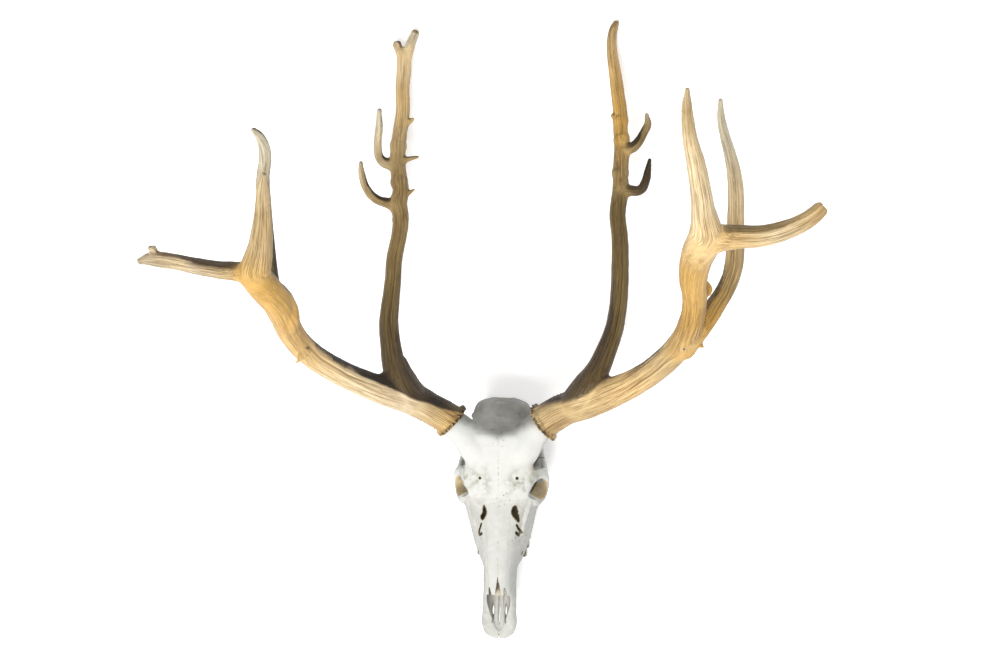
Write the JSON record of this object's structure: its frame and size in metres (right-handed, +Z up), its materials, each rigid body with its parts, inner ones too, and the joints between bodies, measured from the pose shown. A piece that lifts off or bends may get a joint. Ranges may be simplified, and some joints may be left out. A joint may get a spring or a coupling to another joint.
{
  "type": "deer skull with antlers",
  "caption": "Bleached upper skull of an adult stag of the Pere David's deer type, with both forked antlers, lying on its hind tines and the base of the braincase.",
  "frame": {"origin": "middle of the bounding box's base, on the surface that the skull lies on", "axes": "+Y runs from the tip of the nose to the tips of the hind tines, +Z is up, and +X is to the right as seen from above with the nose towards the viewer"},
  "size_m": [0.9749, 1.0124, 0.5752],
  "materials": {
    "skull_bone": "matte",
    "antler": "matte"
  },
  "bodies": {
    "root": {"cheekbone_left": "skull_bone", "cheekbone_right": "skull_bone", "nasal_bone_left": "skull_bone", "nasal_bone_right": "skull_bone", "premaxilla_left": "skull_bone", "premaxilla_right": "skull_bone", "maxilla_with_teeth_left": "skull_bone", "maxilla_with_teeth_right": "skull_bone", "braincase": "skull_bone", "frontal_bone_left": "skull_bone", "frontal_bone_right": "skull_bone", "antler_base_left": "antler", "front_beam_left": "antler", "hind_tine_left": "antler", "back_branch_left": "antler", "upper_prong_left": "antler", "outer_prong_left": "antler", "antler_base_right": "antler", "front_beam_right": "antler", "hind_tine_right": "antler", "back_branch_right": "antler", "upper_prong_right": "antler", "outer_prong_right": "antler"}
  },
  "joints": []
}
